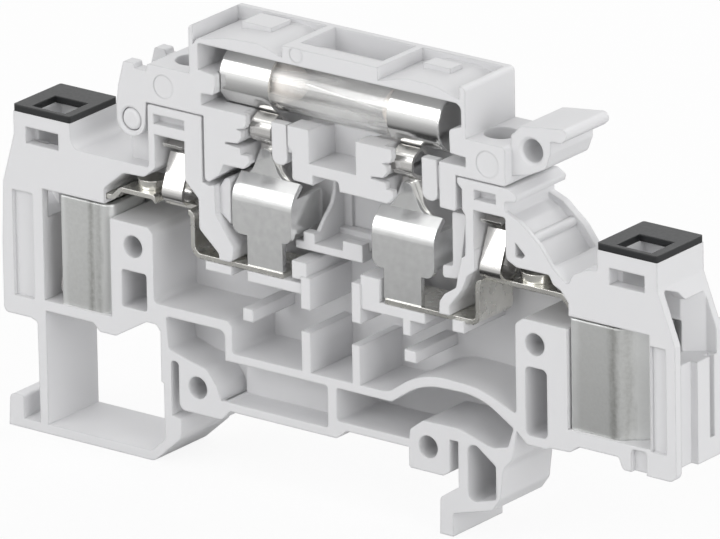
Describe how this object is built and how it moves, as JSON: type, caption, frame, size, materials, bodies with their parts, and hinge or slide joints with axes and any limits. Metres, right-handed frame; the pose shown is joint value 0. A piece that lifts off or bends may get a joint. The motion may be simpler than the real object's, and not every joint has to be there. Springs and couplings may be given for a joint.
{
  "type": "hinged fuse terminal block",
  "caption": "Hinged fuse terminal block for a 35 mm top-hat rail, seen from its open side, with a glass cartridge fuse in the lever.",
  "frame": {"origin": "middle of the rail seat, on the plane of the pads that rest on the rail", "axes": "+X along the block from the hinge end to the handle end, +Y through its thickness away from the open side, +Z away from the rail"},
  "size_m": [0.0825, 0.008, 0.0466],
  "materials": {
    "moulding": "satin",
    "marking": "satin",
    "cap_plating": "polished",
    "glass": "polished",
    "fuse_element": "satin",
    "solder": "satin",
    "contact_plating": "satin",
    "spring_steel": "satin",
    "busbar_plating": "satin",
    "zinc_steel": "satin"
  },
  "bodies": {
    "base": {"housing": "moulding", "marking_frame_left": "marking", "marking_frame_right": "marking", "fuse_contact_left": "contact_plating", "fuse_contact_right": "contact_plating", "contact_spring_left": "spring_steel", "contact_spring_right": "spring_steel", "busbar_left": "busbar_plating", "busbar_right": "busbar_plating", "rivet_left": "busbar_plating", "rivet_right": "busbar_plating", "jumper_spring_left": "spring_steel", "jumper_spring_right": "spring_steel", "clamp_cage_left": "zinc_steel", "clamp_cage_right": "zinc_steel", "clamp_spring_left": "spring_steel", "clamp_spring_right": "spring_steel"},
    "lever": {"fuse_lever": "moulding", "fuse_cap_left": "cap_plating", "fuse_cap_right": "cap_plating", "glass_tube": "glass", "fuse_wire": "fuse_element", "solder_bead_left": "solder", "solder_bead_right": "solder"}
  },
  "joints": [
    {"name": "lever_hinge", "type": "hinge", "parent": "base", "child": "lever", "pos_m": [-0.0218, 0, 0.0292], "axis": [0, -1, 0], "range_deg": [0, 90]}
  ]
}
